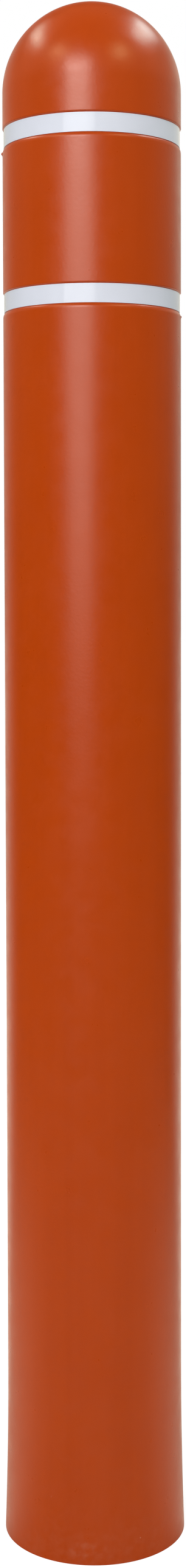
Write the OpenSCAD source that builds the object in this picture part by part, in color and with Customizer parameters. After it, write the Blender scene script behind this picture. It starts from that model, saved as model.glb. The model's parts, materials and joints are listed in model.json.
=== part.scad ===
// Bollard cover sleeve: a moulded plastic sleeve with a domed top that slides down over a
// steel pipe post. Two recessed bands below the dome hold reflective tape, and foam strips
// bonded inside take up the slack between the post and the sleeve.
// Millimetres, +Z up, origin at the centre of the foot rim, which stands on the ground.

/* [Post and fit] */
// Outside diameter of the post that the sleeve goes over
post_d = 168.3; // [110:0.1:220]
// Radial room left between the post and the faces of the foam strips
post_gap = 0.05; // [0:0.05:1]
// Thickness of the adhesive film under the tapes and the foam strips
glue_t = 0.3; // [0.1:0.05:0.4]

/* [Shell] */
// Overall height from the foot rim to the crown of the dome
sleeve_h = 1543; // [1000:1:2000]
// Wall thickness of the moulded shell
wall = 3.2; // [2.4:0.1:6.4]
// Height of the flared foot
flare_h = 170; // [60:1:200]
// How far the foot rim stands out from the tube, measured on the radius
flare_out = 3.1; // [0.5:0.1:8]

/* [Tape grooves] */
// Depth of the grooves below the face of the tube
groove_depth = 1.8; // [1.3:0.1:2]
// Height of the sloped lip above the tape
upper_lip_h = 1.2; // [0.5:0.1:4]
// Height of the long bevel below the tape
lower_bevel_h = 2.6; // [0.5:0.1:6]

/* [Reflective tapes] */
// Width of each reflective tape
tape_w = 18.4; // [12:0.1:50]
// Thickness of the reflective tape
tape_t = 0.4; // [0.1:0.05:0.45]
// Length of the lap where the ends of a tape meet at the rear
tape_lap = 25; // [5:1:80]
// Room between a tape's edges and the ends of the groove floor
tape_edge_gap = 0.2; // [0.1:0.05:1]
// Distance from the crown down to the top edge of the upper tape
upper_tape_drop = 124.5; // [120:0.5:200]
// Distance from the crown down to the top edge of the lower tape
lower_tape_drop = 286.4; // [270:0.1:400]

/* [Foam strips] */
// Thickness of the foam strips, pressed between the post and the shell
foam_t = 1.25; // [0.8:0.05:6]
// Width of the foam strips around the bore
foam_w = 50; // [25:1:70]
// Length of the foam strips along the bore
foam_l = 150; // [60:1:250]
// Distance from the crown down to the top ends of the upper foam strips
upper_foam_drop = 193; // [150:1:400]
// Height of the bottom ends of the lower foam strips above the foot rim
lower_foam_z = 210; // [205:1:400]

/* [Hidden] */
$fn = 192;

// Radii, worked outwards from the post
foam_face_r = post_d / 2 + post_gap;
foam_back_r = foam_face_r + foam_t;
bore_r = foam_back_r + glue_t;
tube_r = bore_r + wall;
groove_r = tube_r - groove_depth;
tape_r = groove_r + glue_t;

// Heights: the dome is a half sphere on top of the straight tube
spring_z = sleeve_h - tube_r;
upper_tape_z = sleeve_h - upper_tape_drop - tape_w;
lower_tape_z = sleeve_h - lower_tape_drop - tape_w;
upper_foam_z = sleeve_h - upper_foam_drop - foam_l;

// The foot follows one long arc, tangent to the tube at the top of the flare
flare_arc_r = (flare_h * flare_h + flare_out * flare_out) / (2 * flare_out);
flare_steps = 10;
function flare_at(z) = flare_arc_r - sqrt(pow(flare_arc_r, 2) - pow(flare_h - z, 2));

// Angles around the bore of the four sides, and the angles that tape and foam take up
right_deg = 0;
rear_deg = 90;
left_deg = 180;
front_deg = 270;
lap_deg = tape_lap / (tape_r + tape_t) * 180 / PI;
foam_deg = foam_w / foam_back_r * 180 / PI;

// How far a cut runs past the face that it opens
cut_over = 1;

shell_colour = [0.74, 0.28, 0.10];
tape_colour = [0.90, 0.91, 0.93];
foam_colour = [0.15, 0.15, 0.16];

// Half section from the axis out to radius r on the tube: flared foot, straight tube, dome
module sleeve_section(r, foot_z = 0) {
    foot = [for (i = [0 : flare_steps])
        let (z = foot_z + (flare_h - foot_z) * i / flare_steps) [r + flare_at(z), z]];
    polygon(concat([[0, foot_z]], foot, [[r, spring_z], [0, spring_z]]));
    translate([0, spring_z])
        intersection() {
            circle(r = r);
            square(r);
        }
}

// Half section of the groove for a tape whose bottom edge is at tape_z
module groove_section(tape_z) {
    floor_bottom = tape_z - tape_edge_gap;
    floor_top = tape_z + tape_w + tape_edge_gap;
    outside_r = tube_r + cut_over;
    polygon([
        [groove_r, floor_bottom],
        [groove_r, floor_top],
        [tube_r, floor_top + upper_lip_h],
        [outside_r, floor_top + upper_lip_h],
        [outside_r, floor_bottom - lower_bevel_h],
        [tube_r, floor_bottom - lower_bevel_h],
    ]);
}

// One-piece moulded shell, open at the foot
module sleeve_shell() {
    color(shell_colour)
        rotate_extrude()
            difference() {
                sleeve_section(tube_r);
                sleeve_section(bore_r, -cut_over);
                groove_section(upper_tape_z);
                groove_section(lower_tape_z);
            }
}

// Flat wedge from the axis to past radius r, centred on angle middle_deg
module wedge(r, sector_deg, middle_deg) {
    reach = r + cut_over;
    half_w = reach * tan(sector_deg / 2);
    rotate(middle_deg)
        polygon([[0, 0], [reach, -half_w], [reach, half_w]]);
}

// Tape wrapped once around a groove, with its end lapped over its start at the rear
module wrapped_tape(tape_z) {
    color(tape_colour)
        translate([0, 0, tape_z])
            linear_extrude(height = tape_w)
                difference() {
                    union() {
                        circle(r = tape_r + tape_t);
                        intersection() {
                            circle(r = tape_r + 2 * tape_t);
                            wedge(tape_r + 2 * tape_t, lap_deg, rear_deg);
                        }
                    }
                    circle(r = tape_r);
                }
}

module upper_reflective_tape() wrapped_tape(upper_tape_z);
module lower_reflective_tape() wrapped_tape(lower_tape_z);

// Self-adhesive foam strip bonded to the bore, with its bottom end at strip_z
module foam_strip(strip_z, side_deg) {
    color(foam_colour)
        rotate([0, 0, side_deg - foam_deg / 2])
            rotate_extrude(angle = foam_deg)
                translate([foam_face_r, strip_z])
                    square([foam_t, foam_l]);
}

module upper_front_foam_strip() foam_strip(upper_foam_z, front_deg);
module upper_right_foam_strip() foam_strip(upper_foam_z, right_deg);
module upper_rear_foam_strip() foam_strip(upper_foam_z, rear_deg);
module upper_left_foam_strip() foam_strip(upper_foam_z, left_deg);
module lower_front_foam_strip() foam_strip(lower_foam_z, front_deg);
module lower_right_foam_strip() foam_strip(lower_foam_z, right_deg);
module lower_rear_foam_strip() foam_strip(lower_foam_z, rear_deg);
module lower_left_foam_strip() foam_strip(lower_foam_z, left_deg);

sleeve_shell();
upper_reflective_tape();
lower_reflective_tape();
upper_front_foam_strip();
upper_right_foam_strip();
upper_rear_foam_strip();
upper_left_foam_strip();
lower_front_foam_strip();
lower_right_foam_strip();
lower_rear_foam_strip();
lower_left_foam_strip();
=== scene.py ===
"""Bollard cover sleeve: finish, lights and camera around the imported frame. Metres, +Z up, front -Y."""
import json
import math
from collections import namedtuple

import bpy
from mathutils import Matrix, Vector, noise


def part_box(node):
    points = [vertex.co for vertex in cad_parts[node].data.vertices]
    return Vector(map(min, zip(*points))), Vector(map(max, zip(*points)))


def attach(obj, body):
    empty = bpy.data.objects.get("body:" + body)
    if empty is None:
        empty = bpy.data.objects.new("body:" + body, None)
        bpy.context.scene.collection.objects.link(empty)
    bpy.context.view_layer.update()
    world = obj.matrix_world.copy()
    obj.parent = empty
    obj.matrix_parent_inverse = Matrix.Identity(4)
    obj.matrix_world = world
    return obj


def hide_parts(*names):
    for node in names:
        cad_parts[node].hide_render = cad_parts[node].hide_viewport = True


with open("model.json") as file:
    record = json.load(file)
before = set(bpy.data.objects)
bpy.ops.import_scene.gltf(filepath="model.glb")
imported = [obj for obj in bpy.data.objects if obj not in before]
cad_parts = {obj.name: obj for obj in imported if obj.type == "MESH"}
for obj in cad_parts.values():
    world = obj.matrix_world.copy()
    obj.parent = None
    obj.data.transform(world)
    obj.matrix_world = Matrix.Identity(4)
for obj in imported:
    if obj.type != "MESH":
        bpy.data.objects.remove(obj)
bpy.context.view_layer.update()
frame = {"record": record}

MM = 0.001
ROOT = "root"

# Sizes that the frame gives
SHELL_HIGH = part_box("sleeve_shell")[1]
SLEEVE_H = SHELL_HIGH.z
FOOT_R = SHELL_HIGH.x
UPPER_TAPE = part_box("upper_reflective_tape")
LOWER_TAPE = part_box("lower_reflective_tape")
TAPE_FACE_R = UPPER_TAPE[1].x
# The first mount is the socket for the post, between the faces of the foam strips
FOAM_FACE_R = frame["record"]["mounts"][0]["dims"]["r_mm"] * MM

# Sizes of the moulding, the tapes and the foam, as the solids have them
FLARE_H = 170 * MM
FLARE_OUT = 3.1 * MM
WALL = 3.2 * MM
GROOVE_DEPTH = 1.8 * MM
UPPER_LIP_H = 1.2 * MM
LOWER_BEVEL_H = 2.6 * MM
TAPE_EDGE_GAP = 0.2 * MM
TAPE_T = 0.4 * MM
TAPE_LAP = 25 * MM
FOAM_W = 50 * MM

TUBE_R = FOOT_R - FLARE_OUT
BORE_R = TUBE_R - WALL
GROOVE_R = TUBE_R - GROOVE_DEPTH
SPRING_Z = SLEEVE_H - TUBE_R
FLARE_ARC_R = (FLARE_H ** 2 + FLARE_OUT ** 2) / (2 * FLARE_OUT)

# Angle of each side around the axis, in degrees
SIDES = {"front": 270, "right": 0, "rear": 90, "left": 180}


# Mesh helpers

# Steps of a rounded corner
CORNER_STEPS = 5
# A ring this close to each rounding keeps the faces beside it flat in shading
SUPPORT = 0.4 * MM


def new_mesh(name, points, faces, materials, face_slots=None):
    """A smooth-shaded mesh object in the scene."""
    mesh = bpy.data.meshes.new(name)
    mesh.from_pydata(points, [], faces)
    mesh.validate()
    for material in materials:
        mesh.materials.append(material)
    for polygon in mesh.polygons:
        polygon.use_smooth = True
        if face_slots:
            polygon.material_index = face_slots[polygon.index]
    piece = bpy.data.objects.new(name, mesh)
    bpy.context.scene.collection.objects.link(piece)
    return piece


def polar(radius, angle, z):
    """Point at that distance from the sleeve's axis, angle around it and height."""
    return (radius * math.cos(angle), radius * math.sin(angle), z)


def along(start, end, share):
    """Point on the line from start to end, at that share of the way."""
    return tuple(a + (b - a) * share for a, b in zip(start, end))


def smooth(share):
    """The share from 0 to 1 eased at both ends."""
    return share * share * (3 - 2 * share)


def step_from(start, end, distance):
    """Point on the line from start to end, at that distance from start."""
    return along(start, end, distance / math.dist(start, end))


def rounded(before, corner, after, setback):
    """A corner of an outline turned into a short curve, with a support point on each side of it."""
    first = step_from(corner, before, setback)
    last = step_from(corner, after, setback)
    points = [step_from(corner, before, setback + SUPPORT)]
    for i in range(CORNER_STEPS + 1):
        share = i / CORNER_STEPS
        points.append(along(along(first, corner, share), along(corner, last, share), share))
    points.append(step_from(corner, after, setback + SUPPORT))
    return points


# The moulded shell

# Roundings of the moulding, measured along the faces from each corner
LIP_ROUND = 0.45 * MM
BEVEL_ROUND = 2.0 * MM
GROOVE_ROUND = 0.3 * MM
RIM_ROUND = 0.7 * MM
# The flare's last ring leaves a short straight stretch above the rounded rim
RIM_STRAIGHT = 0.5 * MM
FLARE_END_Z = RIM_ROUND + SUPPORT + RIM_STRAIGHT

# Parting line of the two mould halves, on the left and right sides
PARTING_H = 0.1 * MM
PARTING_HALF_W = 0.45 * MM
# The line runs into the grooves for this share of their depth
PARTING_GROOVE_SHARE = 0.6
PARTING_LOW_R = TUBE_R - PARTING_GROOVE_SHARE * GROOVE_DEPTH
# Flash left on the parting line: -1 is the left side and 1 the right
Flash = namedtuple("Flash", "side z reach half_h half_w")
FLASH = [
    Flash(side=-1, z=UPPER_TAPE[0].z - 3.4 * MM, reach=1.5 * MM, half_h=1.7 * MM, half_w=1.4 * MM),
    Flash(side=1, z=LOWER_TAPE[0].z - 3.0 * MM, reach=0.95 * MM, half_h=1.3 * MM, half_w=1.1 * MM),
]

# Mesh resolution, with closer rings beside the flash and closer meridians beside the parting line
SEGMENTS = 240
DOME_STEPS = 48
COARSE_STEP = 18 * MM
FINE_STEP = 0.7 * MM
FINE_REACH = 7 * MM
PARTING_OFFSETS = [0.22 * MM, 0.5 * MM, 0.85 * MM, 1.4 * MM]

# Material slots of the shell's mesh
OUTSIDE_SLOT = 0
INSIDE_SLOT = 1


def filled(outline):
    """The outline with extra points, close together beside the flash and further apart elsewhere."""
    points = [outline[0]]
    for start, end in zip(outline, outline[1:]):
        middle_z = (start[1] + end[1]) / 2
        near = any(abs(middle_z - flash.z) < FINE_REACH for flash in FLASH)
        step = FINE_STEP if near else COARSE_STEP
        count = max(1, math.ceil(math.dist(start, end) / step))
        points += [along(start, end, (i + 1) / count) for i in range(count)]
    return points


def ring_angles():
    """Angles of the lathe's meridians, with closer ones on both sides of the parting line."""
    angles = [2 * math.pi * i / SEGMENTS for i in range(SEGMENTS)]
    for side in (0, math.pi):
        for offset in PARTING_OFFSETS:
            angles += [side + offset / TUBE_R, side - offset / TUBE_R]
    return sorted(angle % (2 * math.pi) for angle in angles)


def flare_at(z):
    """How far the foot stands out from the tube at height z."""
    return FLARE_ARC_R - math.sqrt(FLARE_ARC_R ** 2 - (FLARE_H - z) ** 2)


def dome_outline(radius):
    """Quarter circle from the crown down to the top of the straight tube."""
    turns = [math.pi / 2 * (1 - i / DOME_STEPS) for i in range(DOME_STEPS + 1)]
    return [(radius * math.cos(turn), SPRING_Z + radius * math.sin(turn)) for turn in turns]


def groove_outline(tape_box):
    """Groove from its upper lip down past the long bevel under the tape."""
    floor_top = tape_box[1].z + TAPE_EDGE_GAP
    floor_bottom = tape_box[0].z - TAPE_EDGE_GAP
    lip = (TUBE_R, floor_top + UPPER_LIP_H)
    top = (GROOVE_R, floor_top)
    bottom = (GROOVE_R, floor_bottom)
    bevel = (TUBE_R, floor_bottom - LOWER_BEVEL_H)
    above = (TUBE_R, lip[1] + FINE_REACH)
    below = (TUBE_R, bevel[1] - FINE_REACH)
    return (
        rounded(above, lip, top, LIP_ROUND)
        + rounded(lip, top, bottom, GROOVE_ROUND)
        + rounded(top, bottom, bevel, GROOVE_ROUND)
        + rounded(bottom, bevel, below, BEVEL_ROUND)
        + [below]
    )


def flare_outline(radius):
    """Flared foot from the tube down to just above the rim."""
    count = math.ceil(FLARE_H / COARSE_STEP)
    heights = [FLARE_H + (FLARE_END_Z - FLARE_H) * i / count for i in range(count + 1)]
    return [(radius + flare_at(z), z) for z in heights]


def shell_outline():
    """Half section in two stretches: from the crown down to the rim, and from there up the bore."""
    rim_out = (FOOT_R, 0)
    rim_in = (FOOT_R - WALL, 0)
    outer = dome_outline(TUBE_R) + groove_outline(UPPER_TAPE) + groove_outline(LOWER_TAPE)
    outer += flare_outline(TUBE_R)
    inner = flare_outline(BORE_R)[::-1] + dome_outline(BORE_R)[::-1]
    outer_rim = rounded(outer[-1], rim_out, rim_in, RIM_ROUND)
    inner_rim = rounded(rim_out, rim_in, inner[0], RIM_ROUND)
    return filled(outer + outer_rim), filled(inner_rim + inner)


def outer_relief(x, y, z):
    """How far the parting line and its flash stand out of the outer face."""
    relief = PARTING_H * math.exp(-(y / PARTING_HALF_W) ** 2)
    for flash in FLASH:
        if x * flash.side > 0:
            spread = (y / flash.half_w) ** 2 + ((z - flash.z) / flash.half_h) ** 2
            relief += flash.reach * math.exp(-spread)
    return relief


def make_shell(outside, inside):
    """One closed lathe mesh: outer face, rim and inner face."""
    outer, inner = shell_outline()
    outline = outer + inner
    angles = ring_angles()
    points = [(0, 0, outline[0][1])]
    for index, (r, z) in enumerate(outline[1:-1], start=1):
        parted = index < len(outer) and (r > PARTING_LOW_R or z > SPRING_Z)
        for angle in angles:
            plain = polar(r, angle, z)
            relief = outer_relief(*plain) if parted else 0
            points.append(polar(r + relief, angle, z))
    points.append((0, 0, outline[-1][1]))

    count = len(angles)
    rings = len(outline) - 2
    last_ring = 1 + (rings - 1) * count
    faces, slots = [], []
    for j in range(count):
        following = (j + 1) % count
        faces.append((0, 1 + j, 1 + following))
        slots.append(OUTSIDE_SLOT)
        for i in range(rings - 1):
            upper, lower = 1 + i * count, 1 + (i + 1) * count
            faces.append((upper + j, lower + j, lower + following, upper + following))
            slots.append(OUTSIDE_SLOT if i + 1 < len(outer) else INSIDE_SLOT)
        faces.append((last_ring + j, len(points) - 1, last_ring + following))
        slots.append(INSIDE_SLOT)
    return new_mesh("moulded_shell", points, faces, [outside, inside], slots)


# The reflective tapes

# Chamfer of a tape's edges, room behind the tape, and length of its climb over its own start
TAPE_EDGE = 0.03 * MM
TAPE_SEAT = 0.02 * MM
TAPE_RAMP = 5 * MM
# Mesh resolution around the groove and across the tape
TAPE_STEP = math.radians(1.5)
TAPE_ROWS = 6
# Edges that turn by more than this are shaded sharp
TAPE_SHARP_FROM = math.radians(30)


def tape_section(low, high, climb):
    """Outline of the tape's section, where climb goes from 0 on the groove floor to 1 on the lap."""
    seat_r = GROOVE_R + TAPE_SEAT
    lap_r = TAPE_FACE_R + TAPE_SEAT
    back = seat_r + (lap_r - seat_r) * climb
    face = TAPE_FACE_R + (lap_r + TAPE_T - TAPE_FACE_R) * climb
    face_h = high - low - 2 * TAPE_EDGE
    section = [(back, low), (face - TAPE_EDGE, low)]
    section += [(face, low + TAPE_EDGE + face_h * i / TAPE_ROWS) for i in range(TAPE_ROWS + 1)]
    return section + [(face - TAPE_EDGE, high), (back, high)]


def make_tape(name, tape_box, material):
    """One strip wrapped round its groove floor, which climbs over its own start at the rear."""
    lap = TAPE_LAP / TAPE_FACE_R
    ramp = TAPE_RAMP / TAPE_FACE_R
    round_once = 2 * math.pi
    total = round_once + lap
    first_angle = math.radians(SIDES["rear"]) - lap / 2
    count = math.ceil(total / TAPE_STEP)
    turns = {total * i / count for i in range(count + 1)} | {round_once - ramp, round_once}

    points = []
    for turn in sorted(turns):
        share = min(1, max(0, (turn - (round_once - ramp)) / ramp))
        section = tape_section(tape_box[0].z, tape_box[1].z, smooth(share))
        points += [polar(r, first_angle + turn, z) for r, z in section]

    size = len(points) // len(turns)
    ends = [tuple(range(size)), tuple(range(len(points) - 1, len(points) - size - 1, -1))]
    faces = list(ends)
    for i in range(len(turns) - 1):
        here, there = i * size, (i + 1) * size
        for k in range(size):
            following = (k + 1) % size
            faces.append((here + k, there + k, there + following, here + following))
    piece = new_mesh(name, points, faces, [material])
    for end_face in piece.data.polygons[:len(ends)]:
        end_face.use_smooth = False
    piece.data.set_sharp_from_angle(angle=TAPE_SHARP_FROM)
    return piece


# The foam strips

# Room behind a strip, and its mesh resolution
FOAM_SEAT = 0.02 * MM
FOAM_ACROSS = 40
FOAM_ALONG = 110
# Edges that turn by more than this are shaded sharp
FOAM_SHARP_FROM = math.radians(50)
# Soft shoulders: how far in they reach, and the share of the thickness that is left at the edge
FOAM_EDGE = 1.1 * MM
FOAM_SIDE = 0.55
# Uneven face: depth, and waves in a metre
FOAM_WAVE = 0.07 * MM
FOAM_WAVE_SCALE = 160


def foam_thickness(gap_to_edge):
    """Share of the full thickness at that distance from the nearest edge, with soft shoulders."""
    share = min(1, gap_to_edge / FOAM_EDGE)
    return FOAM_SIDE + (1 - FOAM_SIDE) * math.sqrt(1 - (1 - share) ** 2)


def foam_faces():
    """Faces of a strip whose points are the grid of its face and then the grid of its back."""
    rows = FOAM_ALONG + 1
    shift = (FOAM_ACROSS + 1) * rows
    faces = []
    for i in range(FOAM_ACROSS):
        for k in range(FOAM_ALONG):
            a, b = i * rows + k, (i + 1) * rows + k
            faces.append((a, a + 1, b + 1, b))
            faces.append((shift + a, shift + b, shift + b + 1, shift + a + 1))
    for i in range(FOAM_ACROSS):
        for k in (0, FOAM_ALONG):
            a, b = i * rows + k, (i + 1) * rows + k
            wall = (a, b, shift + b, shift + a)
            faces.append(wall if k == 0 else wall[::-1])
    for k in range(FOAM_ALONG):
        for i in (0, FOAM_ACROSS):
            a, b = i * rows + k, i * rows + k + 1
            wall = (a, shift + a, shift + b, b)
            faces.append(wall if i == 0 else wall[::-1])
    return faces


def make_foam(level, side, material):
    """Foam strip bonded to the bore, with a slightly uneven face and soft edges."""
    node = f"{level}_{side}_foam_strip"
    node_low, node_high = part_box(node)
    length = node_high.z - node_low.z
    back_r = BORE_R - FOAM_SEAT
    full = back_r - FOAM_FACE_R
    middle = math.radians(SIDES[side])
    face_points, back_points = [], []
    for i in range(FOAM_ACROSS + 1):
        across = FOAM_W * (i / FOAM_ACROSS - 0.5)
        angle = middle + across / back_r
        for k in range(FOAM_ALONG + 1):
            rise = length * k / FOAM_ALONG
            back = polar(back_r, angle, node_low.z + rise)
            gap = min(FOAM_W / 2 - abs(across), rise, length - rise)
            wave = FOAM_WAVE * (1 + noise.noise(Vector(back) * FOAM_WAVE_SCALE)) / 2
            face_r = back_r - full * foam_thickness(gap) + wave
            face_points.append(polar(face_r, angle, node_low.z + rise))
            back_points.append(back)
    piece = new_mesh(f"{level}_{side}_foam_pad", face_points + back_points, foam_faces(), [material])
    piece.data.set_sharp_from_angle(angle=FOAM_SHARP_FROM)
    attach(piece, ROOT)
    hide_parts(node)


# Material helpers

# Stretches of a noise pattern's values, which lie around a half
NOISE_CORE = (0.35, 0.65)
NOISE_MIDDLE = (0.3, 0.7)
NOISE_WIDE = (0.2, 0.8)


class Nodes:
    """Short calls for building one node tree."""

    def __init__(self, tree):
        self.tree = tree
        tree.nodes.clear()

    def add(self, kind, **settings):
        """A new node with those settings."""
        node = self.tree.nodes.new(kind)
        for name, value in settings.items():
            setattr(node, name, value)
        return node

    def give(self, socket, value):
        """A socket takes a value or another node's output."""
        if isinstance(value, bpy.types.NodeSocket):
            self.tree.links.new(value, socket)
        else:
            socket.default_value = value

    def set(self, node, **inputs):
        """Values for a node's inputs by name. Underscores stand for spaces."""
        for name, value in inputs.items():
            self.give(node.inputs[name.replace("_", " ")], value)
        return node

    def math(self, operation, first, second=0.0):
        """One step of arithmetic."""
        node = self.add("ShaderNodeMath", operation=operation)
        self.give(node.inputs[0], first)
        self.give(node.inputs[1], second)
        return node.outputs[0]

    def chain(self, operation, values):
        """The same step of arithmetic over all the values, from the first to the last."""
        result, *others = values
        for value in others:
            result = self.math(operation, result, value)
        return result

    def product(self, *values):
        return self.chain("MULTIPLY", values)

    def total(self, *values):
        return self.chain("ADD", values)

    def largest(self, *values):
        return self.chain("MAXIMUM", values)

    def average(self, first, second):
        return self.total(self.product(first, 0.5), self.product(second, 0.5))

    def ramp(self, value, low, high, to_low=0.0, to_high=1.0):
        """Smooth step of a value from one range to another. It falls where low is above high."""
        node = self.add("ShaderNodeMapRange", interpolation_type="SMOOTHSTEP")
        self.set(node, Value=value, From_Min=low, From_Max=high, To_Min=to_low, To_Max=to_high)
        return node.outputs["Result"]

    def split(self, vector):
        """The x, y and z of a vector."""
        node = self.set(self.add("ShaderNodeSeparateXYZ"), Vector=vector)
        return node.outputs["X"], node.outputs["Y"], node.outputs["Z"]

    def stretched(self, place, scale):
        """Coordinates multiplied by a scale for each axis."""
        node = self.set(self.add("ShaderNodeMapping"), Vector=place, Scale=scale)
        return node.outputs["Vector"]

    def noise(self, place, scale, detail=2.0, roughness=0.5):
        """Soft noise with that many waves in a unit of place."""
        node = self.add("ShaderNodeTexNoise")
        self.set(node, Vector=place, Scale=scale, Detail=detail, Roughness=roughness)
        return node.outputs["Fac"]

    def sparse(self, place, scale, share, radius):
        """Small dots in that share of the cells of a Voronoi pattern, where 1 is a cell's width."""
        cells = self.set(self.add("ShaderNodeTexVoronoi"), Vector=place, Scale=scale)
        colour = self.set(self.add("ShaderNodeSeparateColor"), Color=cells.outputs["Color"])
        chosen = self.math("LESS_THAN", colour.outputs["Red"], share)
        dots = self.ramp(cells.outputs["Distance"], radius / 2, radius, 1.0, 0.0)
        return self.product(chosen, dots)

    def mix(self, share, first, second):
        """Blend of two colours. The node's colour sockets come after those of its other types."""
        node = self.add("ShaderNodeMix", data_type="RGBA")
        share_in, first_in, second_in = node.inputs[0], node.inputs[6], node.inputs[7]
        self.give(share_in, share)
        self.give(first_in, first)
        self.give(second_in, second)
        return node.outputs[2]

    def bump(self, height, strength, distance, under=None):
        """Normals of a relief, laid over those of another relief where one is given."""
        node = self.add("ShaderNodeBump")
        self.set(node, Strength=strength, Distance=distance, Height=height)
        if under:
            self.set(node, Normal=under)
        return node.outputs["Normal"]

    def ray_kinds(self):
        """1 or 0 twice: does the ray come from the camera, and did a glossy or clear surface send it on."""
        path = self.add("ShaderNodeLightPath").outputs
        return path["Is Camera Ray"], self.largest(path["Is Glossy Ray"], path["Is Transmission Ray"])


def new_material(name):
    """A material with an empty node tree, its Principled shader and its object coordinates."""
    material = bpy.data.materials.new(name)
    material.use_nodes = True
    nodes = Nodes(material.node_tree)
    output = nodes.add("ShaderNodeOutputMaterial")
    shader = nodes.add("ShaderNodeBsdfPrincipled")
    nodes.set(output, Surface=shader.outputs["BSDF"])
    place = nodes.add("ShaderNodeTexCoord").outputs["Object"]
    return material, nodes, shader, place


def rgba(red, green, blue):
    return (red, green, blue, 1)


# The plastic. Scales of patterns are waves or cells in a metre

PLASTIC = rgba(0.51, 0.0565, 0.0008)
PLASTIC_LIGHT = rgba(0.52, 0.0585, 0.0010)
PLASTIC_DARK = rgba(0.50, 0.0545, 0.0006)
PLASTIC_SCUFF = rgba(0.56, 0.17, 0.09)
# The gloss takes on some of the pigment's colour
PLASTIC_GLOSS_TINT = rgba(1.0, 0.80, 0.72)
PLASTIC_GLOSS_LEVEL = 0.70
PLASTIC_IOR = 1.5
PLASTIC_DIFFUSE_ROUGHNESS = 0.4
PLASTIC_ROUGHNESS = (0.27, 0.35)
GLOSS_SCALE = 60
SCUFF_ROUGHNESS = 0.6

MOTTLE_SCALE = 14
STREAK_SCALE = (90, 90, 1.6)
# Orange peel of the moulding and the fine grain on it: scale, strength, depth
PEEL = (330, 1.0, 0.07 * MM)
GRAIN = (1900, 0.5, 0.012 * MM)

# Pale smudge low on the front: middle, half width, half height and strength
SMUDGE_X = -8 * MM
SMUDGE_Z = 14 * MM
SMUDGE_HALF_W = 24 * MM
SMUDGE_HALF_H = 12 * MM
SMUDGE_SHARE = 0.3
# It fades between these multiples of its half size. Points behind the front face count as far from it.
SMUDGE_FADE = (0.2, 1.4)
SMUDGE_BACK_Y = (-40 * MM, 0.0)
SMUDGE_FAR = 4.0
# Scuffs above the rim: height and strength
RIM_SCUFF_H = 60 * MM
RIM_SCUFF_SHARE = 0.12
# Noise that breaks up smudge and scuffs: scale, roughness, and the stretch of its values that shows
WEAR_SCALE = 120
WEAR_NOISE_ROUGHNESS = 0.6
WEAR_NOISE = (0.35, 0.8)
# Specks round the foot: scale, share of the cells, radius in cells, then strength and heights of the fade
SPECKS = (45, 0.2, 0.05)
SPECK_SHARE = 0.7
SPECK_FADE_Z = (20 * MM, 140 * MM)


def foot_wear(nodes, place):
    """Share of pale wear: a smudge low on the front, scuffs above the rim and specks round the foot."""
    x, y, z = nodes.split(place)
    offset = nodes.add("ShaderNodeCombineXYZ")
    nodes.set(
        offset,
        X=nodes.math("DIVIDE", nodes.math("SUBTRACT", x, SMUDGE_X), SMUDGE_HALF_W),
        Y=nodes.ramp(y, *SMUDGE_BACK_Y, 0.0, SMUDGE_FAR),
        Z=nodes.math("DIVIDE", nodes.math("SUBTRACT", z, SMUDGE_Z), SMUDGE_HALF_H),
    )
    reach = nodes.add("ShaderNodeVectorMath", operation="LENGTH")
    nodes.set(reach, Vector=offset.outputs["Vector"])
    smudge = nodes.product(nodes.ramp(reach.outputs["Value"], *SMUDGE_FADE, 1.0, 0.0), SMUDGE_SHARE)
    above_rim = nodes.ramp(z, 0.0, RIM_SCUFF_H, RIM_SCUFF_SHARE, 0.0)
    patches = nodes.noise(place, WEAR_SCALE, detail=4, roughness=WEAR_NOISE_ROUGHNESS)
    patches = nodes.ramp(patches, *WEAR_NOISE)
    scuffs = nodes.product(nodes.largest(smudge, above_rim), patches)
    specks = nodes.product(nodes.sparse(place, *SPECKS), nodes.ramp(z, *SPECK_FADE_Z, SPECK_SHARE, 0.0))
    return nodes.largest(scuffs, specks)


def plastic_outside():
    """Satin moulded plastic: orange-peel face, faint flow streaks, pale wear near the foot."""
    material, nodes, shader, place = new_material("plastic_outside")
    mottle = nodes.noise(place, MOTTLE_SCALE, detail=3)
    streaks = nodes.noise(nodes.stretched(place, STREAK_SCALE), scale=1, detail=3)
    tone = nodes.ramp(nodes.average(mottle, streaks), *NOISE_MIDDLE)
    wear = foot_wear(nodes, place)
    colour = nodes.mix(wear, nodes.mix(tone, PLASTIC_DARK, PLASTIC_LIGHT), PLASTIC_SCUFF)

    normal = None
    for scale, strength, depth in (PEEL, GRAIN):
        normal = nodes.bump(nodes.noise(place, scale), strength, depth, normal)

    gloss = nodes.ramp(nodes.noise(place, GLOSS_SCALE, detail=3), *NOISE_WIDE, *PLASTIC_ROUGHNESS)
    roughness = nodes.total(gloss, nodes.product(wear, SCUFF_ROUGHNESS))
    nodes.set(shader, Base_Color=colour, Roughness=roughness, Normal=normal)
    nodes.set(shader, IOR=PLASTIC_IOR, Diffuse_Roughness=PLASTIC_DIFFUSE_ROUGHNESS)
    nodes.set(shader, Specular_IOR_Level=PLASTIC_GLOSS_LEVEL, Specular_Tint=PLASTIC_GLOSS_TINT)
    return material


INSIDE_ROUGHNESS = (0.5, 0.65)
INSIDE_MOTTLE_SCALE = 30
INSIDE_FLOW_SCALE = (120, 120, 20)
INSIDE_FLOW_STRENGTH = 0.4
INSIDE_FLOW_DEPTH = 0.25 * MM


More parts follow.
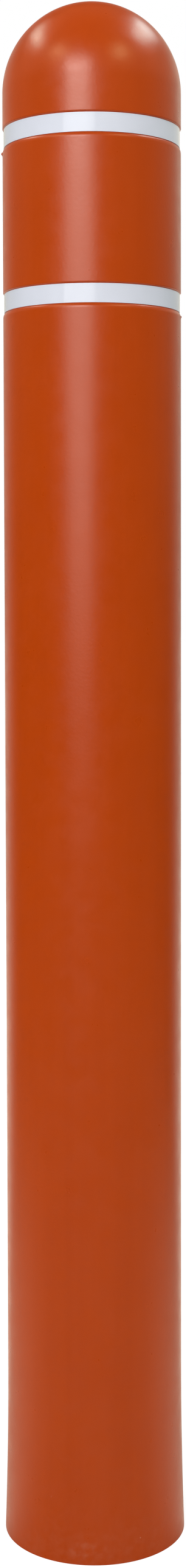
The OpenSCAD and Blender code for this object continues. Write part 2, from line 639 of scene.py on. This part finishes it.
def plastic_inside():
    """The same plastic on the unpolished side of the moulding."""
    material, nodes, shader, place = new_material("plastic_inside")
    mottle = nodes.noise(place, INSIDE_MOTTLE_SCALE, detail=4)
    colour = nodes.mix(nodes.ramp(mottle, *NOISE_MIDDLE), PLASTIC_DARK, PLASTIC)
    flow = nodes.noise(nodes.stretched(place, INSIDE_FLOW_SCALE), scale=1, detail=4)
    normal = nodes.bump(flow, INSIDE_FLOW_STRENGTH, INSIDE_FLOW_DEPTH)
    roughness = nodes.ramp(mottle, *NOISE_WIDE, *INSIDE_ROUGHNESS)
    nodes.set(shader, Base_Color=colour, Roughness=roughness, Normal=normal, IOR=PLASTIC_IOR)
    return material


# The tape and the foam

TAPE_WHITE = rgba(0.75, 0.755, 0.86)
TAPE_SHADE = rgba(0.725, 0.73, 0.83)
TAPE_IOR = 1.5
TAPE_ROUGHNESS = (0.08, 0.14)
BEAD_SCALE = 2600
CLOUD_SCALE = 35
RIPPLE_SCALE = (60, 60, 25)
RIPPLE_STRENGTH = 0.25
RIPPLE_DEPTH = 0.08 * MM


def tape_white():
    """White reflective sheeting: fine beads under a glossy clear face."""
    material, nodes, shader, place = new_material("tape_white")
    beads = nodes.noise(place, BEAD_SCALE, detail=1)
    cloud = nodes.noise(place, CLOUD_SCALE)
    colour = nodes.mix(nodes.ramp(nodes.average(beads, cloud), *NOISE_CORE), TAPE_SHADE, TAPE_WHITE)
    ripple = nodes.noise(nodes.stretched(place, RIPPLE_SCALE), scale=1)
    normal = nodes.bump(ripple, RIPPLE_STRENGTH, RIPPLE_DEPTH)
    roughness = nodes.ramp(cloud, *NOISE_WIDE, *TAPE_ROUGHNESS)
    nodes.set(shader, Base_Color=colour, Roughness=roughness, Normal=normal, IOR=TAPE_IOR)
    return material


# The darker grey is painted shade in the hollows of the cut cells
FOAM_HOLLOW_SHADE = rgba(0.018, 0.018, 0.020)
FOAM_GREY = rgba(0.034, 0.034, 0.037)
FOAM_ROUGHNESS = (0.95, 0.82)
CELL_SCALE = 1400.0
# Stretch from a cell's middle to its wall, in cells
CELL_WALL = (0.05, 0.6)
CELL_STRENGTH = 0.6
CELL_DEPTH = 0.12 * MM


def foam_grey():
    """Closed-cell foam: fine cut cells with painted shade in their hollows, no gloss."""
    material, nodes, shader, place = new_material("foam_grey")
    cells = nodes.set(nodes.add("ShaderNodeTexVoronoi"), Vector=place, Scale=CELL_SCALE)
    height = nodes.ramp(cells.outputs["Distance"], *CELL_WALL)
    # Cell hollows, low in the relief, take the darker grey: painted shade
    colour = nodes.mix(height, FOAM_HOLLOW_SHADE, FOAM_GREY)
    normal = nodes.bump(height, CELL_STRENGTH, CELL_DEPTH)
    roughness = nodes.ramp(height, 0.0, 1.0, *FOAM_ROUGHNESS)
    nodes.set(shader, Base_Color=colour, Roughness=roughness, Normal=normal)
    return material


# The floor and the world

WHITE = rgba(1, 1, 1)
# Mirrored rays see warm surroundings
MIRRORED_COLOUR = rgba(1.0, 0.93, 0.76)

FLOOR_SIZE = 60
FLOOR_COLOUR = 0.8
# The camera sees this share of the floor's light and shadow, under a white glow that dims near the sleeve
FLOOR_CAMERA_SHARE = 0.35
FLOOR_CAMERA_GLOW = (0.85, 1.0)
FLOOR_CAMERA_FADE = (0.3, 1.5)
# Mirrored rays see a pale patch round the sleeve, a bright floor behind it and a dark one elsewhere.
# A turn goes from -1 in front of the sleeve to 1 behind it, and a fade is a stretch of distance from it.
FLOOR_NEAR_GLOW = (0.03, 0.65)
FLOOR_NEAR_TURN = (-0.9, 0.2)
FLOOR_NEAR_FADE = (0.4, 2.0)
FLOOR_REAR_GLOW = 1.4
FLOOR_REAR_TURN = (0.4, 1.1)
FLOOR_REAR_FADE = (2.0, 6.0)
FLOOR_REAR_FAR_SHARE = 0.7


def floor_glow(nodes, position, direct, mirrored):
    """Strength of the floor's own light, for the camera and for mirrored rays only."""
    x, y, _ = nodes.split(position)
    distance = nodes.math("SQRT", nodes.total(nodes.product(x, x), nodes.product(y, y)))
    turn = nodes.math("DIVIDE", y, distance)
    near = nodes.ramp(turn, *FLOOR_NEAR_TURN, *FLOOR_NEAR_GLOW)
    near = nodes.product(near, nodes.ramp(distance, *FLOOR_NEAR_FADE, 1.0, 0.0))
    rear = nodes.ramp(turn, *FLOOR_REAR_TURN, 0.0, FLOOR_REAR_GLOW)
    rear = nodes.product(rear, nodes.ramp(distance, *FLOOR_REAR_FADE, 1.0, FLOOR_REAR_FAR_SHARE))
    white = nodes.ramp(distance, *FLOOR_CAMERA_FADE, *FLOOR_CAMERA_GLOW)
    return nodes.total(nodes.product(direct, white), nodes.product(mirrored, nodes.largest(near, rear)))


def floor_pale():
    """Matte floor that glows white to the camera, and is clear to rays that come from below."""
    material = bpy.data.materials.new("floor_pale")
    material.use_nodes = True
    material.cycles.emission_sampling = "NONE"
    nodes = Nodes(material.node_tree)
    output = nodes.add("ShaderNodeOutputMaterial")
    geometry = nodes.add("ShaderNodeNewGeometry").outputs
    direct, mirrored = nodes.ray_kinds()

    hidden = nodes.total(mirrored, nodes.product(direct, 1 - FLOOR_CAMERA_SHARE))
    level = nodes.product(nodes.math("SUBTRACT", 1.0, hidden), FLOOR_COLOUR)
    grey = nodes.set(nodes.add("ShaderNodeCombineColor"), Red=level, Green=level, Blue=level)
    matte = nodes.set(nodes.add("ShaderNodeBsdfDiffuse"), Color=grey.outputs["Color"])
    glow = nodes.add("ShaderNodeEmission")
    strength = floor_glow(nodes, geometry["Position"], direct, mirrored)
    nodes.set(glow, Color=nodes.mix(mirrored, WHITE, MIRRORED_COLOUR), Strength=strength)
    lit = nodes.add("ShaderNodeAddShader")
    nodes.give(lit.inputs[0], matte.outputs["BSDF"])
    nodes.give(lit.inputs[1], glow.outputs["Emission"])
    clear = nodes.add("ShaderNodeBsdfTransparent")
    shown = nodes.set(nodes.add("ShaderNodeMixShader"), Fac=geometry["Backfacing"])
    nodes.give(shown.inputs[1], lit.outputs["Shader"])
    nodes.give(shown.inputs[2], clear.outputs["BSDF"])
    nodes.set(output, Surface=shown.outputs["Shader"])
    return material


def make_floor():
    """Pale floor that keeps the sleeve's shadow. It casts none, so light under it reaches the bore."""
    half = FLOOR_SIZE / 2
    corners = [(-half, -half, 0), (half, -half, 0), (half, half, 0), (-half, half, 0)]
    floor = new_mesh("floor", corners, [(0, 1, 2, 3)], [floor_pale()])
    floor.visible_shadow = False


# Faint light from all around, for other rays: on the left, on the right, and the stretch of x between
AMBIENT_LEFT = 0.08
AMBIENT_RIGHT = 0.03
AMBIENT_TURN = (-0.9, -0.2)
# Glows that mirrored rays see in the world: the level, then each axis of the ray's direction that the glow
# depends on, with the stretch over which it rises, or falls where the stretch is written from high to low
MIRRORED_GLOWS = {
    "everywhere": (0.02, []),
    "right side": (0.08, [("x", 0.1, 0.8)]),
    "overhead": (0.13, [("z", 0.6, 0.9)]),
    "high in front": (0.35, [("z", 0.1, 0.45), ("z", 0.85, 0.5), ("y", 0.5, 0.0)]),
    "low beside": (0.25, [("y", -0.35, 0.3), ("z", 0.0, 0.25), ("z", 0.7, 0.22)]),
    "low behind": (0.6, [("y", 0.4, 1.1), ("z", 0.7, 0.22)]),
    "low right": (0.35, [("x", -0.2, 0.4), ("y", 0.0, 0.6), ("z", 0.1, 0.3), ("z", 0.7, 0.22)]),
}


def make_world():
    """White to the camera. Mirrored rays see it bright behind the sleeve and dark on the viewer's side."""
    world = bpy.data.worlds.new("studio")
    world.use_nodes = True
    world.cycles.sampling_method = "NONE"
    bpy.context.scene.world = world
    nodes = Nodes(world.node_tree)
    output = nodes.add("ShaderNodeOutputWorld")
    x, y, z = nodes.split(nodes.add("ShaderNodeTexCoord").outputs["Generated"])
    axes = {"x": x, "y": y, "z": z}
    direct, mirrored = nodes.ray_kinds()

    glows = []
    for level, stretches in MIRRORED_GLOWS.values():
        shares = [nodes.ramp(axes[axis], start, end) for axis, start, end in stretches]
        glows.append(nodes.product(level, *shares))
    seen = nodes.total(*glows)
    ambient = nodes.ramp(x, *AMBIENT_TURN, AMBIENT_LEFT, AMBIENT_RIGHT)
    other = nodes.math("SUBTRACT", 1.0, nodes.largest(mirrored, direct))
    strength = nodes.total(direct, nodes.product(mirrored, seen), nodes.product(other, ambient))
    background = nodes.add("ShaderNodeBackground")
    nodes.set(background, Color=nodes.mix(mirrored, WHITE, MIRRORED_COLOUR), Strength=strength)
    nodes.set(output, Surface=background.outputs["Background"])


# The lights

KEY_DISTANCE = 2.5
KEY_COLOUR = (1.0, 1.0, 1.0)
KEY_CORE_COLOUR = (0.96, 0.99, 1.0)
KEY_TOP_COLOUR = (0.94, 0.98, 1.0)
# Panels of the key light: direction in degrees, bottom, top, width, radiance, colour
KEY_PANELS = [
    (-15.5, 0.90, 1.45, 1.3, 2.3, KEY_COLOUR),
    (-16.5, 1.45, 2.05, 1.78, 2.3, KEY_COLOUR),
    (-16.5, 1.45, 2.05, 0.8, 3.2, KEY_CORE_COLOUR),
    (-17.2, 2.05, 2.45, 1.1, 10.2, KEY_TOP_COLOUR),
    (-18.5, 2.45, 2.8, 1.4, 8.8, KEY_TOP_COLOUR),
    (-19, 2.8, 3.3, 1.4, 3.4, KEY_TOP_COLOUR),
]
# Ceiling lights, facing down: name, place, turn in degrees, width, depth, radiance, colour
CEILING_Z = 3.5
CEILING_LIGHTS = [
    ("rear_left_light", (-1.78, 0.74), -27, 0.52, 1.8, 5.8, (0.8, 1.0, 0.86)),
    ("rear_right_light", (1.54, 1.02), 10.5, 0.8, 2.1, 5.8, (0.7, 1.0, 0.98)),
    ("front_right_light", (1.65, -1.8), 0, 0.85, 1.1, 4.3, (1.0, 1.0, 0.53)),
    ("front_left_light", (-1.9, -1.6), 0, 1.0, 1.1, 3.5, (1.0, 0.97, 0.6)),
]
# Fill lights, which leave no mirror image: name, place, height that they face, width, height, radiance
FILL_LIGHTS = [
    ("left_fill", (-1.6, 0.6, 0.15), 0.2, 0.8, 0.6, 3.3),
    ("right_fill", (1.6, 0.6, 0.15), 0.2, 0.8, 0.6, 3.9),
    ("right_high_fill", (1.6, 0.6, 1.8), 1.8, 0.8, 0.8, 1.45),
    ("front_wide_fill", (0.0, -2.3, 1.0), 0.9, 2.4, 1.8, 0.06),
    ("front_left_fill", (-0.8, -0.9, 0.3), 0.3, 0.6, 0.6, 1.52),
    ("front_right_fill", (0.8, -0.9, 0.3), 0.3, 0.6, 0.6, 1.52),
    ("top_fill", (0.1, -0.5, 3.3), SPRING_Z, 4.0, 3.0, 0.81),
    ("rear_fill", (0.0, 2.4, 1.0), 0.9, 0.8, 1.8, 1.1),
    ("bore_fill", (0.0, 0.0, -0.06), SPRING_Z, 0.14, 0.14, 4.0),
]


def softbox(name, place, aim, width, height, radiance, colour=(1, 1, 1)):
    """Area lamp whose face has that radiance, where 1 is the white of the background."""
    lamp = bpy.data.lights.new(name, "AREA")
    lamp.shape = "RECTANGLE"
    lamp.size = width
    lamp.size_y = height
    lamp.energy = radiance * math.pi * width * height
    lamp.color = colour
    holder = bpy.data.objects.new(name, lamp)
    holder.location = place
    holder.rotation_euler = (Vector(aim) - Vector(place)).to_track_quat("-Z", "Y").to_euler()
    holder.visible_camera = False
    bpy.context.scene.collection.objects.link(holder)
    return holder


def make_lights():
    """Tall key light at the front left, brightest in its upper half, ceiling lights and soft fills.

    One of the fills lies under the floor and lights the bore.
    """
    for index, (direction, bottom, top, width, radiance, colour) in enumerate(KEY_PANELS):
        middle = (bottom + top) / 2
        x = KEY_DISTANCE * math.sin(math.radians(direction))
        y = -KEY_DISTANCE * math.cos(math.radians(direction))
        name = f"key_light_{index}"
        softbox(name, (x, y, middle), (0, 0, middle), width, top - bottom, radiance, colour)
    for name, (x, y), turn, width, depth, radiance, colour in CEILING_LIGHTS:
        strip = softbox(name, (x, y, CEILING_Z), (x, y, 0), width, depth, radiance, colour)
        strip.rotation_euler = (0, 0, math.radians(turn))
    for name, place, faced_z, width, height, radiance in FILL_LIGHTS:
        fill = softbox(name, place, (0, 0, faced_z), width, height, radiance)
        fill.visible_glossy = False
        fill.data.cycles.use_multiple_importance_sampling = False


# The camera

CAMERA_PLACE = (0.25 * MM, -2068.2 * MM, 972.5 * MM)
CAMERA_TILT = math.radians(3)
CAMERA_ROLL = math.radians(0.14)
# The sensor's size, which holds for the taller side of the frame
SENSOR_SIZE = 36
# Height of the photograph, focal length and row of the lens axis, in its pixels
PHOTO_H = 2576
FOCAL_PX = 3367
AXIS_ROW = 1129


def make_camera():
    """Camera at the photograph's viewing angle."""
    camera = bpy.data.cameras.new("camera")
    camera.sensor_width = SENSOR_SIZE
    camera.lens = SENSOR_SIZE * FOCAL_PX / PHOTO_H
    camera.shift_y = (AXIS_ROW - PHOTO_H / 2) / PHOTO_H
    holder = bpy.data.objects.new("camera", camera)
    holder.location = CAMERA_PLACE
    holder.rotation_euler = (math.pi / 2 - CAMERA_TILT, CAMERA_ROLL, 0)
    bpy.context.scene.collection.objects.link(holder)
    bpy.context.scene.camera = holder


# The scene

make_camera()

shell = make_shell(plastic_outside(), plastic_inside())
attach(shell, ROOT)
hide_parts("sleeve_shell")

white = tape_white()
for level, tape_box in (("upper", UPPER_TAPE), ("lower", LOWER_TAPE)):
    tape = make_tape(f"{level}_tape", tape_box, white)
    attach(tape, ROOT)
    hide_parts(f"{level}_reflective_tape")

grey = foam_grey()
for level in ("upper", "lower"):
    for side in SIDES:
        make_foam(level, side, grey)

make_floor()
make_world()
make_lights()
bpy.context.scene.view_settings.view_transform = "Standard"
